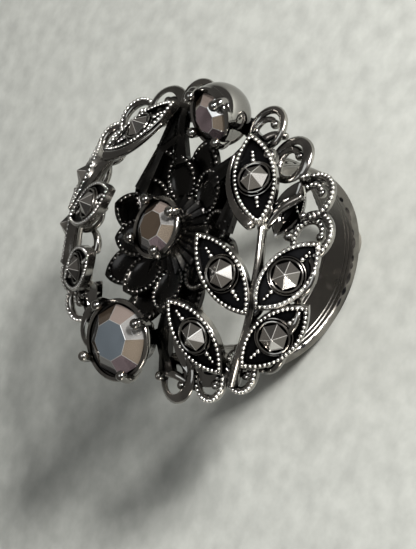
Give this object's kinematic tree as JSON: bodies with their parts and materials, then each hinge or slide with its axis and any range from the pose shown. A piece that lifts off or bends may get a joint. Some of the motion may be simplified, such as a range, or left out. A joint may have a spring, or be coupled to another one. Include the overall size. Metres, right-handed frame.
{
  "type": "cocktail ring",
  "caption": "Cocktail ring with an openwork filigree dome, mirrored leaf sprays, a flower and faceted stones in prong cups on a plain round shank.",
  "frame": {"origin": "centre of the finger hole", "axes": "+Z through the crown of the head; +Y along the finger to the west leaf spray; +X across the finger to the north stone"},
  "size_m": [0.0277, 0.0336, 0.025],
  "materials": {
    "gunmetal": "polished dark gunmetal plating, worn to a lighter warm grey on raised edges",
    "dark_gunmetal": "gunmetal plating oxidised nearly black",
    "marcasite": "polished metallic marcasite with six facets",
    "hematite_stone": "mirror polished metallic-coated faceted stone"
  },
  "bodies": {
    "root": {"shank": "gunmetal", "shank_seam_plate": "gunmetal", "saddle_plate": "dark_gunmetal", "north_frame": "dark_gunmetal", "south_frame": "dark_gunmetal", "scroll_rim_east": "gunmetal", "scroll_rim_west": "gunmetal", "side_petals_east": "dark_gunmetal", "side_petals_west": "dark_gunmetal", "rim_ties_east": "gunmetal", "rim_ties_west": "gunmetal", "stem_east": "gunmetal", "stem_west": "gunmetal", "leaf_east_1": "gunmetal", "leaf_east_2": "gunmetal", "leaf_east_3": "gunmetal", "leaf_east_4": "gunmetal", "leaf_east_5": "gunmetal", "leaf_west_1": "gunmetal", "leaf_west_2": "gunmetal", "leaf_west_3": "gunmetal", "leaf_west_4": "gunmetal", "leaf_west_5": "gunmetal", "marcasite_east_1": "marcasite", "marcasite_east_2": "marcasite", "marcasite_east_3": "marcasite", "marcasite_east_4": "marcasite", "marcasite_east_5": "marcasite", "marcasite_west_1": "marcasite", "marcasite_west_2": "marcasite", "marcasite_west_3": "marcasite", "marcasite_west_4": "marcasite", "marcasite_west_5": "marcasite", "flower_petals": "dark_gunmetal", "flower_collar": "dark_gunmetal", "center_rivet": "gunmetal", "center_cup": "gunmetal", "center_stone": "hematite_stone", "north_cup": "gunmetal", "north_stone": "hematite_stone", "south_cup": "gunmetal", "south_stone": "hematite_stone"}
  },
  "joints": []
}
